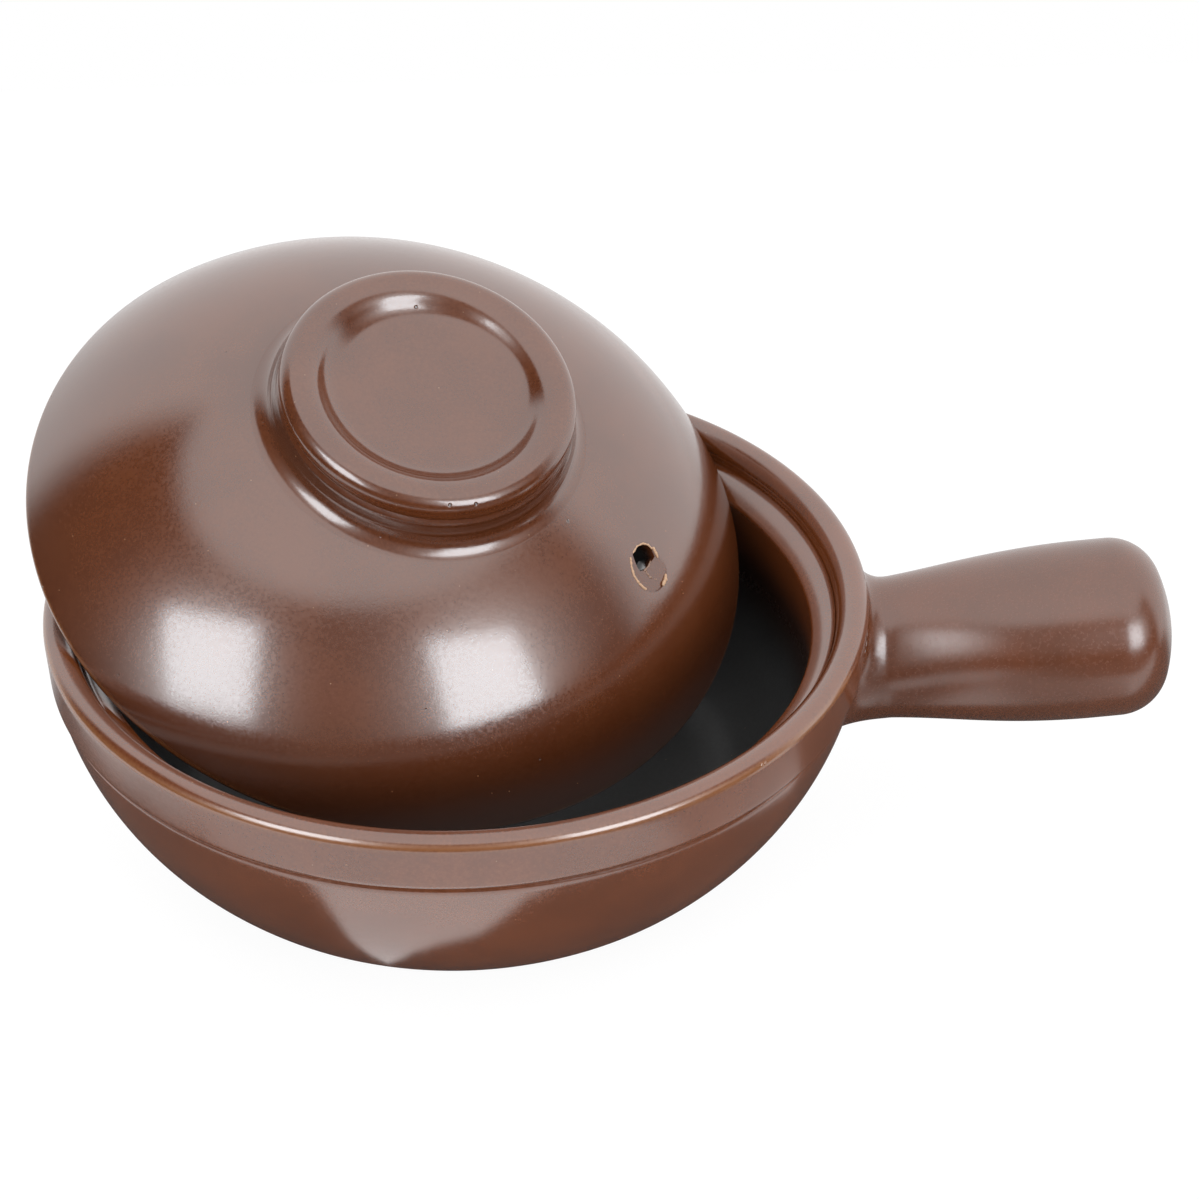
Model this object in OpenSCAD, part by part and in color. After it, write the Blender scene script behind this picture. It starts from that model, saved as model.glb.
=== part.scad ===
// Clay pot with one stubby handle, and its domed lid leaning in the mouth.
// The origin is the middle of the flat base, Z is up and the handle points along X.

/* [Bowl] */
// Outer radius of the lip
lip_r = 100; // [92:1:110]
// Height of the lip's top above the base
lip_z = 66; // [60:1:74]
// Radial thickness of the lip, from its bore to its outside
lip_w = 8.1; // [7:0.1:10]
// Rounding of the lip's inner edge
lip_round = 4; // [2:0.5:5]
// Rounding of the lip's outer edge
lip_edge_round = 1.8; // [0.6:0.1:2.5]
// Height of the plain band below the lip
band_h = 13.45; // [10:0.05:18]
// How far the band narrows towards its lower edge
band_taper = 0.6; // [0:0.1:1.5]
// Rounding of the band's lower edge
band_round = 0.5; // [0.2:0.1:0.7]
// Step from the band in to the wall below it
groove_d = 0.8; // [0.75:0.05:2]
// Radius of the flat base, to the point where the wall's curve would meet the table
base_r = 63.4; // [56:0.2:70]
// Rounding between the base and the wall
foot_round = 1.5; // [0.5:0.5:4]
// Radius of the wall's curve, seen from the side
wall_curve = 78; // [70:1:100]
// Thickness of the wall
wall_t = 6.5; // [5:0.5:8]
// Thickness of the floor
floor_t = 8; // [6:0.5:10]
// Rounding between the floor and the wall, inside
floor_round = 18; // [10:1:24]
// Rounding under the seat, where the inner wall turns to its curve
shoulder_round = 30; // [20:1:34]

/* [Lid seat] */
// Depth of the seat's outer edge below the lip's top
seat_depth = 6.5; // [6:0.1:8]
// Radial width of the seat
seat_w = 5.8; // [4:0.1:7]
// Fall of the seat towards the middle, in degrees
seat_slope = 28; // [10:1:32]
// Rounding of the seat's inner edge
seat_round = 2; // [1:0.5:2.5]
// Fillet between the seat and the bore of the lip
seat_fillet = 1.5; // [0.5:0.1:2]

/* [Handle] */
// Depth of the handle's axis below the lip's top, measured at the lip
handle_drop = 21.4; // [21:0.1:26]
// Rise of the handle towards its end, in degrees
handle_rise = 4.5; // [0:0.5:8]
// Length of the handle, from the lip's outside to its end
handle_len = 75.8; // [66:0.2:95]
// Radius of the handle where it is thickest
grip_r = 22.05; // [20:0.05:24]
// Radius of the handle's neck
neck_r = 17.55; // [15:0.05:18.5]
// Distance from the lip to the place where the neck starts to swell
swell_start = 5; // [4.5:0.5:10]
// Length over which the neck swells to its full radius
swell_len = 50; // [40:1:50]
// Rounding between the side of the handle and its end
end_round = 12.7; // [8:0.1:15]
// Radius of the end's shallow dome
end_dome = 40; // [32:1:60]
// Thickness of the handle's wall
handle_wall = 6; // [4:0.5:8]
// Radius of the fillet on top of the handle's root
root_fillet = 3.5; // [2:0.1:4]
// How far the root's collar is set above the handle's axis
root_lift = 1.4; // [0.5:0.1:1.8]
// How far the root's collar widens on its way into the wall
root_spread = 1.2; // [0.2:0.1:2]
// Radius of the small air hole under the handle
air_hole_r = 1.6; // [1:0.1:2.5]
// Distance of the air hole from the lip
air_hole_x = 16; // [12:0.5:30]

/* [Lid] */
// Play between the lid's rim and the bore of the lip, to one side
lid_play = 2.5; // [1.5:0.1:3.5]
// Height of the dome above the middle of the rim's edge
dome_h = 50.3; // [44:0.1:58]
// Thickness of the dome
lid_t = 5.5; // [4.5:0.1:7]
// Rounding of the rim's edges
rim_round = 1.5; // [1:0.1:2]
// Radius of the steam hole
vent_r = 2.9; // [2:0.1:4]
// Distance of the steam hole from the lid's axis
vent_out = 62.1; // [55:0.1:72]
// Direction of the steam hole, in degrees from the lid's low side
vent_turn = 38; // [-180:0.1:180]

/* [Lid knob] */
// Outer radius of the knob's rolled edge
knob_r = 35.8; // [30:0.1:38]
// Height of the rolled edge above the top of the dome
knob_h = 7.3; // [6:0.1:11]
// Radius of the rolled edge's outer side
bead_r = 4.4; // [3.5:0.1:5]
// Radius of the rolled edge's inner side
roll_r = 7.3; // [5:0.1:8.5]
// Slope of the dish's side, in degrees
dish_slope = 45; // [35:1:55]
// Rounding between the dish's side and its floor
dish_corner = 9; // [3:0.1:10]
// Slope of the dish's floor at its edge, in degrees
floor_slope = 7; // [3:1:12]
// Clay over the top of the dome, in the middle of the dish
knob_floor = 0.8; // [0.5:0.1:2]
// Height from the middle of the rolled edge down to its lower corner
bead_drop = 2; // [1:0.1:3]
// How far the neck below the rolled edge flares on its way down
knob_flare = 1.2; // [0.5:0.1:3]
// Fillet between the knob and the dome
knob_fillet = 7; // [3:0.1:9]
// Lean of the neck where its fillet starts, in degrees from upright
neck_lean = 28; // [10:1:36]

/* [Pose of the leaning lid] */
// Lean of the lid from level, in degrees
lid_lean = 24; // [18:0.1:26]
// Direction in which the lid dips, in degrees from the handle
lid_turn = -59.8; // [-180:0.1:180]
// How far the lid's middle is pushed back, away from its low side
lid_back = 30.6; // [27:0.1:33]
// How far the lid's middle is pushed to the side
lid_side = -1; // [-3:0.1:3]
// Least distance between the lid and the bowl
lid_gap = 0.3; // [0.2:0.05:1]

/* [Hidden] */
$fn = 96;
glaze = [0.40, 0.25, 0.18];
glaze_light = [0.45, 0.29, 0.21];

// How much further than its neighbour a cut runs
overrun = 2;
// Exponent that makes the handle swell quickly at first and slowly at the end
swell_share = 1.2;
// Degrees between the places where the lid's distance from the bowl is measured
probe_step = 4;
// Halvings of the search for the lid's height
search_steps = 26;

// Points of an arc from angle a to angle b, in n equal steps
function arc(c, r, a, b, n) =
    [for (i = [0:n]) c + r * [cos(a + (b - a) * i / n), sin(a + (b - a) * i / n)]];
// The third side of a right triangle
function leg(long_side, side) = sqrt(long_side * long_side - side * side);

// Bowl: the wall is one arc from the base to the groove under the band
bore_r = lip_r - lip_w;
groove_z = lip_z - band_h;
band_low_r = lip_r - band_taper;
wall_top = [band_low_r - groove_d, groove_z];
wall_foot = [base_r, 0];
wall_chord = wall_top - wall_foot;
chord_half = norm(wall_chord) / 2;
chord_way = wall_chord / norm(wall_chord);
wall_c = (wall_top + wall_foot) / 2
    + leg(wall_curve, chord_half) * [-chord_way[1], chord_way[0]];
wall_top_a = atan2(wall_top[1] - wall_c[1], wall_top[0] - wall_c[0]);
foot_c = [wall_c[0] + leg(wall_curve - foot_round, wall_c[1] - foot_round), foot_round];
foot_a = atan2(foot_c[1] - wall_c[1], foot_c[0] - wall_c[0]);

// Seat: it falls from the bore of the lip to the inner wall
seat_z = lip_z - seat_depth;
inner_r = bore_r - seat_w;
function seat_height(r) = seat_z - (bore_r - r) * tan(seat_slope);
seat_edge_c = [inner_r + seat_round,
    seat_height(inner_r + seat_round) - seat_round / cos(seat_slope)];

// Inner wall: straight down from the seat, then an even wall's thickness inside the outer arc
inner_curve = wall_curve - wall_t;
shoulder_x = inner_r - shoulder_round;
shoulder_c = [shoulder_x,
    wall_c[1] - leg(inner_curve - shoulder_round, shoulder_x - wall_c[0])];
shoulder_a = atan2(shoulder_c[1] - wall_c[1], shoulder_c[0] - wall_c[0]);
floor_c_z = floor_t + floor_round;
floor_c = [wall_c[0] + leg(inner_curve - floor_round, wall_c[1] - floor_c_z), floor_c_z];
floor_a = atan2(floor_c[1] - wall_c[1], floor_c[0] - wall_c[0]);

outer_outline = concat(
    [[0, 0]],
    arc(foot_c, foot_round, -90, foot_a, 3),
    arc(wall_c, wall_curve, foot_a, wall_top_a, 14),
    arc([band_low_r - band_round, groove_z + band_round], band_round, -90, 0, 3),
    arc([lip_r - lip_edge_round, lip_z - lip_edge_round], lip_edge_round, 0, 90, 5));
inner_outline = concat(
    arc([bore_r + lip_round, lip_z - lip_round], lip_round, 90, 180, 8),
    arc([bore_r - seat_fillet, seat_z + seat_fillet], seat_fillet, 0, -90, 4),
    arc(seat_edge_c, seat_round, 90 + seat_slope, 180, 5),
    arc(shoulder_c, shoulder_round, 0, shoulder_a, 6),
    arc(wall_c, inner_curve, shoulder_a, floor_a, 8),
    arc(floor_c, floor_round, floor_a, -90, 6),
    [[0, floor_t]]);

// Handle: outline of the grip, drawn inwards by a wall's thickness for its hollow
handle_z = lip_z - handle_drop;
root_in = lip_r - base_r;
swell_end = swell_start + swell_len;
function grip_end_x(t) =
    handle_len - end_dome + leg(end_dome - end_round, grip_r - end_round);
function grip_end_a() = atan2(grip_r - end_round, leg(end_dome - end_round, grip_r - end_round));
function swell(x) =
    neck_r + (grip_r - neck_r) * pow(sin(90 * (x - swell_start) / swell_len), swell_share);
function grip_outline(t) = concat(
    [[-root_in, 0], [-root_in, neck_r - t]],
    [for (i = [0:16]) let (x = swell_start + swell_len * i / 16) [x, swell(x) - t]],
    arc([grip_end_x(t), grip_r - end_round], end_round - t, 90, grip_end_a(), 8),
    arc([handle_len - end_dome, 0], end_dome - t, grip_end_a(), 0, 4));
collar_r = neck_r + root_fillet - root_lift;
collar_x = swell_start - root_fillet;
collar_outline = concat(
    [[-root_in, 0], [-root_in, collar_r + root_spread]],
    arc([collar_x + root_fillet, collar_r], root_fillet, 180, 270, 6),
    [[collar_x + root_fillet, 0]]);

// Lid: the dome is part of a sphere that runs smoothly into the rounded rim
lid_r = bore_r - lid_play;
rim_c = [lid_r - rim_round, 0];
dome_drop = (pow(rim_c[0], 2) - pow(dome_h - rim_round, 2)) / (2 * (dome_h - rim_round));
dome_r = dome_drop + dome_h;
dome_c = [0, -dome_drop];
rim_a = atan2(dome_drop, rim_c[0]);
dome_in_r = dome_r - lid_t;
rim_in_c = [leg(dome_in_r + rim_round, dome_drop), 0];
rim_in_a = atan2(dome_drop, rim_in_c[0]);

// Knob: a ring of clay with a dish on top, seated on the dome
knob_top = dome_h + knob_h;
crest_x = knob_r - bead_r;
bead_z = knob_top - bead_r;
roll_c = [crest_x, knob_top - roll_r];
side_in = [-sin(dish_slope), cos(dish_slope)];
side_down = [-cos(dish_slope), -sin(dish_slope)];
floor_in = [-sin(floor_slope), cos(floor_slope)];
floor_fall = tan(floor_slope / 2);
dish_top = dome_h + knob_floor;
// Where the dish's floor would start if its side had no straight part
short_edge = roll_c + (roll_r + dish_corner) * side_in - dish_corner * floor_in;
side_len = (short_edge[1] - short_edge[0] * floor_fall - dish_top)
    / (side_down[0] * floor_fall - side_down[1]);
corner_c = roll_c + (roll_r + dish_corner) * side_in + side_len * side_down;
floor_edge = corner_c - dish_corner * floor_in;
floor_curve = floor_edge[0] / sin(floor_slope);
bead_low_a = -asin(bead_drop / bead_r);
bead_low_x = crest_x + bead_r * cos(bead_low_a);
fillet_x = bead_low_x + knob_flare + knob_fillet;
fillet_c = [fillet_x, leg(dome_r + knob_fillet, fillet_x) - dome_drop];
knob_foot_a = atan2(fillet_c[1] + dome_drop, fillet_x);
knob_seat = arc(dome_c, dome_r, knob_foot_a, 90, 8);
knob_outline = concat(
    arc([0, dish_top + floor_curve], floor_curve, -90, -90 + floor_slope, 6),
    arc(corner_c, dish_corner, -90 + floor_slope, -90 + dish_slope, 6),
    arc(roll_c, roll_r, 90 + dish_slope, 90, 8),
    arc([crest_x, bead_z], bead_r, 90, bead_low_a, 9),
    arc(fillet_c, knob_fillet, 180 + neck_lean, 180 + knob_foot_a, 6),
    knob_seat);
dome_outline = concat(
    [for (i = [len(knob_seat) - 1:-1:0]) knob_seat[i]],
    arc(dome_c, dome_r, knob_foot_a, rim_a, 10),
    arc(rim_c, rim_round, rim_a, -90, 6),
    arc(rim_in_c, rim_round, -90, rim_in_a - 180, 4),
    arc(dome_c, dome_in_r, rim_in_a, 90, 16));

// Distance from a point to the bowl's inside, at radius r and height z
function lip_room(r, z) =
    r < bore_r + lip_round && z > lip_z - lip_round
    ? norm([r - bore_r - lip_round, z - lip_z + lip_round]) - lip_round
    : r < bore_r + lip_round ? bore_r - r : z - lip_z;
function seat_room(r, z) =
    max(inner_r - r, (z - seat_height(min(r, bore_r))) * cos(seat_slope));
function wall_room(r, z) =
    max(z - seat_height(inner_r),
        inner_curve - norm([max(r - wall_c[0], 0), min(z - wall_c[1], 0)]));
function room(r, z) =
    min(lip_room(r, z), seat_room(r, z), wall_room(r, z), z - floor_t);

// The lid is lowered until the nearest of its probes is one gap from the bowl
low_side = [cos(lid_turn), sin(lid_turn)];
lid_at = [-low_side[0] * lid_back - low_side[1] * lid_side,
    -low_side[1] * lid_back + low_side[0] * lid_side];
probe_rings = concat(
    [[rim_c[0], rim_c[1], rim_round], [rim_in_c[0], rim_in_c[1], rim_round]],
    [for (a = [rim_a:probe_step:90]) [dome_r * cos(a), dome_r * sin(a) - dome_drop, 0]]);
function tilted(r, h, a) = [
    r * cos(a) * cos(lid_lean) + h * sin(lid_lean),
    r * sin(a),
    h * cos(lid_lean) - r * cos(a) * sin(lid_lean)];
function turned(p) = [
    lid_at[0] + p[0] * low_side[0] - p[1] * low_side[1],
    lid_at[1] + p[0] * low_side[1] + p[1] * low_side[0],
    p[2]];
probes = [for (ring = probe_rings, a = [0:probe_step:360 - probe_step])
    let (p = turned(tilted(ring[0], ring[1], a))) [norm([p[0], p[1]]), p[2], ring[2]]];
function lid_room(z) = min([for (p = probes) room(p[0], p[1] + z) - p[2]]);
function settle(low, high, n) =
    n == 0 ? high
    : let (mid = (low + high) / 2)
        lid_room(mid) < lid_gap ? settle(mid, high, n - 1) : settle(low, mid, n - 1);
lid_z = settle(0, lip_z + lid_r, search_steps);

module bowl_body() {
    rotate_extrude()
        polygon(concat(outer_outline, [[0, lip_z]]));
}

module lay_along_handle() {
    translate([lip_r, 0, handle_z])
        rotate([0, 90 - handle_rise, 0])
            children();
}

// Turns an outline drawn along X about that axis, which then points up
module turn_about_x(outline) {
    rotate_extrude()
        polygon([for (p = outline) [p[1], p[0]]]);
}

module at_lid() {
    translate([lid_at[0], lid_at[1], lid_z])
        rotate([0, lid_lean, lid_turn])
            children();
}

// The pot itself: lip, seat, wall and floor
module bowl() {
    color(glaze)
        rotate_extrude()
            polygon(concat(outer_outline, inner_outline));
}

// The hollow handle, cut to fit the bowl's outside
module handle() {
    color(glaze_light)
        difference() {
            lay_along_handle()
                difference() {
                    union() {
                        turn_about_x(grip_outline(0));
                        translate([-root_lift, 0, 0])
                            turn_about_x(collar_outline);
                    }
                    turn_about_x(grip_outline(handle_wall));
                    translate([0, 0, air_hole_x])
                        rotate([0, 90, 0])
                            cylinder(h = grip_r + overrun, r = air_hole_r);
                }
            bowl_body();
        }
}

// The dome of the lid, with its rounded rim and steam hole
module lid_dome() {
    color(glaze)
        at_lid()
            difference() {
                rotate_extrude()
                    polygon(dome_outline);
                translate([0, 0, -dome_drop])
                    rotate([0, asin(vent_out / dome_r), vent_turn])
                        translate([0, 0, dome_in_r - overrun])
                            cylinder(h = lid_t + 2 * overrun, r = vent_r);
            }
}

// The ring-shaped knob with its dish
module lid_knob() {
    color(glaze_light)
        at_lid()
            rotate_extrude()
                polygon(knob_outline);
}

bowl();
handle();
lid_dome();
lid_knob();
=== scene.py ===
"""Looks of the glazed clay pot: the bowl, its stubby handle, and the domed lid with its ring knob."""

import logging
import math
from collections.abc import Callable
from dataclasses import dataclass
from enum import Enum

import bmesh
import bpy
from mathutils import Matrix, Vector, noise


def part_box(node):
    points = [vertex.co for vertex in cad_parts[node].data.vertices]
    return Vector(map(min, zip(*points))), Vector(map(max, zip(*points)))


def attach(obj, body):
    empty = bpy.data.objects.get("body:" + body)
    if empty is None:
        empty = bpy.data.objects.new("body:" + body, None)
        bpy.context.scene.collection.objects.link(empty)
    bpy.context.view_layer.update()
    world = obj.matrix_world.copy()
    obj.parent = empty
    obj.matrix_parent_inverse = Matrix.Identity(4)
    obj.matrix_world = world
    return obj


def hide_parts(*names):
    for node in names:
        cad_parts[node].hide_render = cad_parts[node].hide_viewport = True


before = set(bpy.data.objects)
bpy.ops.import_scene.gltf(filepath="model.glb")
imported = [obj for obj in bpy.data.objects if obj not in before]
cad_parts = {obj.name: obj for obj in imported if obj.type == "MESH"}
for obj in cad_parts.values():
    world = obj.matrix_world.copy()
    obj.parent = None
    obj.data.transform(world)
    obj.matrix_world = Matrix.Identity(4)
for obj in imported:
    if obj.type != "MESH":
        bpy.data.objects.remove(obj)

LOG = logging.getLogger("clay_pot")
MM = 0.001
FULL_TURN = 2 * math.pi
MERGE_M = 2e-6
ON_AXIS_MM = 0.01
NEAR_MM = 1.0
SHARP_FROM = 50.0
# Seed of the noise that scatters the clay crumbs, so that every run lays them alike.
NOISE_SEED = 1795980454
Point = tuple[float, float]
Place = tuple[float, float, float]
Colour = tuple[float, float, float, float]
Solid = bmesh.types.BMesh
Material = bpy.types.Material
Socket = bpy.types.NodeSocket
WHITE: Colour = (1.0, 1.0, 1.0, 1.0)


class Body(Enum):
    """The two loose bodies of the pot."""

    POT = "pot"
    LID = "lid"


def arc_points(centre: Point, radius: float, start: float, end: float, steps: int) -> list[Point]:
    """Lists the points of an arc.

    Args:
        centre: the arc's centre, in millimetres.
        radius: the arc's radius, in millimetres.
        start: angle of the first point, in degrees.
        end: angle of the last point, in degrees.
        steps: number of equal steps between them.

    Returns:
        The points from the first to the last.
    """
    turns = [math.radians(start + (end - start) * k / steps) for k in range(steps + 1)]
    return [(centre[0] + radius * math.cos(a), centre[1] + radius * math.sin(a)) for a in turns]


def line_points(start: Point, end: Point, steps: int) -> list[Point]:
    """Lists the points inside a straight line, without its ends.

    Args:
        start: where the line starts, in millimetres.
        end: where it ends.
        steps: number of equal steps.

    Returns:
        The points between the two ends.
    """
    shares = [k / steps for k in range(1, steps)]
    return [(start[0] + (end[0] - start[0]) * s, start[1] + (end[1] - start[1]) * s) for s in shares]


def leg(long_side: float, side: float) -> float:
    """Gives the third side of a right triangle."""
    return math.sqrt(long_side * long_side - side * side)


def bearing(start: Point, end: Point) -> float:
    """Gives the direction from one point to another, in degrees."""
    return math.degrees(math.atan2(end[1] - start[1], end[0] - start[0]))


def held(share: float) -> float:
    """Holds a share between 0 and 1."""
    return min(max(share, 0.0), 1.0)


def fade(value: float, start: float, end: float) -> float:
    """Gives 0 at start and 1 at end, with a smooth run between."""
    share = held((value - start) / (end - start))
    return share * share * (3 - 2 * share)


def hump(value: float, at: float, width: float) -> float:
    """Gives 1 at a place, and falls off smoothly on both sides of it."""
    return math.exp(-((value - at) / width) ** 2)


def turned(angle: float, axis: str) -> Matrix:
    """Gives a turn about an axis by an angle in degrees."""
    return Matrix.Rotation(math.radians(angle), 4, axis)


def grey(level: float) -> Colour:
    """Gives an opaque grey."""
    return (level, level, level, 1.0)


def spin_outline(outline: list[Point], steps: int) -> Solid:
    """Spins an outline about the vertical axis into a closed solid.

    Args:
        outline: radius and height of each point, in millimetres.
        steps: number of steps in the full turn.

    Returns:
        The solid, in metres, with its faces pointing outwards.
    """
    solid = bmesh.new()
    verts = [solid.verts.new((r * MM, 0.0, z * MM)) for r, z in outline]
    edges = [solid.edges.new(pair) for pair in zip(verts, verts[1:])]
    bmesh.ops.spin(solid, geom=verts + edges, cent=(0, 0, 0), axis=(0, 0, 1), angle=FULL_TURN,
                   steps=steps, use_merge=True)
    bmesh.ops.remove_doubles(solid, verts=solid.verts, dist=MERGE_M)
    bmesh.ops.recalc_face_normals(solid, faces=solid.faces)
    if solid.calc_volume(signed=True) < 0:
        bmesh.ops.reverse_faces(solid, faces=solid.faces)
    return solid


def rod(radius: float, length: float, middle: Matrix, sides: int) -> Solid:
    """Makes a round rod that serves as a tool for a cut.

    Args:
        radius: its radius, in millimetres.
        length: its length, in millimetres.
        middle: the frame of its middle, with Z along it.
        sides: number of its sides.

    Returns:
        The rod, in metres.
    """
    tool = bmesh.new()
    bmesh.ops.create_cone(tool, cap_ends=True, segments=sides, radius1=radius * MM, radius2=radius * MM,
                          depth=length * MM, matrix=middle)
    return tool


def as_mesh(name: str, solid: Solid) -> bpy.types.Mesh:
    """Writes a solid into a mesh and frees the solid.

    Args:
        name: the mesh's name.
        solid: what goes into it, in metres.

    Returns:
        The mesh.
    """
    mesh = bpy.data.meshes.new(name)
    solid.to_mesh(mesh)
    solid.free()
    return mesh


def put(name: str, data: bpy.types.ID) -> bpy.types.Object:
    """Puts a mesh, a lamp or a camera into the scene.

    Args:
        name: the object's name.
        data: what the object shows.

    Returns:
        The object, at the origin.
    """
    item = bpy.data.objects.new(name, data)
    bpy.context.scene.collection.objects.link(item)
    return item


@dataclass(frozen=True)
class Crumbs:
    """A ragged ridge of clay crumbs.

    Attributes:
        size: mean radius of a crumb, in millimetres.
        spacing: distance between crumbs, in millimetres.
        seed: where in the noise the ridge lies.
        pace: how fast the noise changes along the ridge, per millimetre.
        spread: how far a crumb's radius strays, as a share of it.
        stray: how far a crumb lies off the path, as a share of its size.
        flatness: a crumb's height, as a share of its width.
    """

    size: float
    spacing: float
    seed: float
    pace: float = 2.3
    spread: float = 0.5
    stray: float = 0.25
    flatness: float = 0.8

    def lay(self, path: list[Vector]) -> Solid:
        """Lays the ridge along a path.

        Args:
            path: the path's corners, in millimetres.

        Returns:
            The crumbs, in metres.
        """
        ridge = bmesh.new()
        flat = Matrix.Diagonal((1.0, 1.0, self.flatness, 1.0))
        for start, end in zip(path, path[1:]):
            steps = max(int((end - start).length / self.spacing), 1)
            for k in range(steps):
                spot = start.lerp(end, k / steps)
                off = noise.noise_vector(spot * self.pace + Vector((self.seed, 0.0, 0.0)))
                radius = self.size * (1 + self.spread * off.z)
                shape = Matrix.Translation((spot + self.stray * self.size * off) * MM) @ flat
                bmesh.ops.create_icosphere(ridge, subdivisions=2, radius=radius * MM, matrix=shape)
        return ridge


@dataclass(frozen=True)
class Wobble:
    """The slight unevenness of hand-finished clay.

    Attributes:
        height: how far the surface strays, in millimetres.
        spacing: distance between its swellings, in millimetres.
        seed: where in the noise the piece lies.
    """

    height: float
    spacing: float
    seed: float

    def apply(self, solid: Solid, above: float = -math.inf) -> None:
        """Sinks each vertex a little into the piece.

        Args:
            solid: the piece's mesh.
            above: height in millimetres up to which the mesh is left as it is.
        """
        solid.normal_update()
        offset = Vector((self.seed, -self.seed, 2 * self.seed))
        for vert in solid.verts:
            if vert.co.z > above * MM:
                sink = 0.5 - 0.5 * noise.noise(vert.co / (self.spacing * MM) + offset)
                vert.co -= vert.normal * sink * self.height * MM


@dataclass(frozen=True)
class Noise:
    """Noise in a finish.

    Attributes:
        size: size of its features, in millimetres.
        detail: how many finer layers lie in it.
        rough: how strong the finer layers are, from 0 to 1.
    """

    size: float
    detail: float = 2.0
    rough: float = 0.5


@dataclass(frozen=True)
class Specks:
    """Small round spots scattered over a finish.

    Attributes:
        spacing: mean distance between possible spots, in millimetres.
        radius: radius of a spot, in millimetres.
        share: how many of the places hold a spot, from 0 to 1.
        strength: how strongly a spot shows, from 0 to 1.
        core: radius of a spot's full middle, as a share of its radius.
    """

    spacing: float
    radius: float
    share: float
    strength: float
    core: float = 0.4


class Graph:
    """The node tree of a material or a world, built node by node."""

    def __init__(self, owner: Material | bpy.types.World) -> None:
        """Starts with an empty tree.

        Args:
            owner: the material or world that the tree belongs to.
        """
        owner.use_nodes = True
        self.tree = owner.node_tree
        self.tree.nodes.clear()

    def node(self, kind: str, values: dict | None = None, **settings: str | bool) -> bpy.types.Node:
        """Adds a node.

        Args:
            kind: the node's type, without its leading ShaderNode.
            values: input names with a number, a colour or another node's output.
            settings: the node's own settings.

        Returns:
            The new node.
        """
        made = self.tree.nodes.new("ShaderNode" + kind)
        for key, value in settings.items():
            setattr(made, key, value)
        for key, value in (values or {}).items():
            if isinstance(value, Socket):
                self.tree.links.new(value, made.inputs[key])
            else:
                made.inputs[key].default_value = value
        return made

    def shader(self, kind: str, **values: Socket | Colour | float) -> Socket:
        """Adds a plain shader with its colour and strength, and returns its output."""
        return self.node(kind, values).outputs[0]

    def maths(self, operation: str, first: Socket | float, second: Socket | float = 0.0) -> Socket:
        """Adds a sum of one or two values and returns its result."""
        return self.node("Math", {0: first, 1: second}, operation=operation).outputs[0]

    def times(self, first: Socket | float, second: Socket | float) -> Socket:
        """Multiplies two values."""
        return self.maths("MULTIPLY", first, second)

    def plus(self, first: Socket | float, second: Socket | float) -> Socket:
        """Adds two values."""
        return self.maths("ADD", first, second)

    def minus(self, first: Socket | float, second: Socket | float) -> Socket:
        """Takes the second value from the first."""
        return self.maths("SUBTRACT", first, second)

    def most(self, first: Socket | float, second: Socket | float) -> Socket:
        """Gives the larger of two values."""
        return self.maths("MAXIMUM", first, second)

    def ramp(self, value: Socket, low: float, high: float, start: float = 0.0, end: float = 1.0) -> Socket:
        """Maps a value from one range to another, held at both ends."""
        made = self.node("MapRange", {"Value": value, "From Min": low, "From Max": high,
                                      "To Min": start, "To Max": end}, interpolation_type="SMOOTHSTEP")
        return made.outputs["Result"]

    def blend(self, share: Socket, first: Socket | Colour, second: Socket | Colour) -> Socket:
        """Mixes two colours by a share and returns the result."""
        return self.node("Mix", {0: share, 6: first, 7: second}, data_type="RGBA").outputs[2]

    def mix(self, share: Socket, first: Socket, second: Socket) -> Socket:
        """Mixes two shaders by a share and returns the result."""
        return self.node("MixShader", {0: share, 1: first, 2: second}).outputs[0]

    def sum(self, first: Socket, second: Socket) -> Socket:
        """Adds two shaders and returns the result."""
        return self.node("AddShader", {0: first, 1: second}).outputs[0]

    def vector(self, operation: str, values: dict) -> Socket:
        """Adds a vector sum and returns its value."""
        return self.node("VectorMath", values, operation=operation).outputs["Value"]

    def layer(self, name: str) -> Socket:
        """Reads an attribute of the mesh."""
        return self.node("Attribute", attribute_name=name).outputs["Fac"]

    def noise(self, where: Socket, kind: Noise) -> Socket:
        """Adds noise and returns its value."""
        return self.node("TexNoise", {"Vector": where, "Scale": 1 / (kind.size * MM), "Detail": kind.detail,
                                      "Roughness": kind.rough}).outputs["Fac"]

    def specks(self, where: Socket, kind: Specks) -> Socket:
        """Scatters small round spots.

        Args:
            where: the coordinates.
            kind: how the spots lie.

        Returns:
            A value of 1 in the spots and 0 elsewhere.
        """
        cells = self.node("TexVoronoi", {"Vector": where, "Scale": 1 / (kind.spacing * MM)})
        near = self.ramp(cells.outputs["Distance"], kind.radius / kind.spacing,
                         kind.core * kind.radius / kind.spacing)
        chance = self.node("SeparateColor", {0: cells.outputs["Color"]}).outputs[0]
        return self.times(near, self.maths("LESS_THAN", chance, kind.share))

    def bump(self, height: Socket, strength: float, depth: float, under: Socket | None = None,
             invert: bool = False) -> Socket:
        """Adds relief to the surface.

        Args:
            height: the relief's height, from 0 to 1.
            strength: how strongly it shows, from 0 to 1.
            depth: its full depth, in millimetres.
            under: the relief that it lies on.
            invert: whether it goes into the surface.

        Returns:
            The relief's normals.
        """
        values = {"Height": height, "Strength": strength, "Distance": depth * MM}
        if under is not None:
            values["Normal"] = under
        return self.node("Bump", values, invert=invert).outputs["Normal"]


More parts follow.
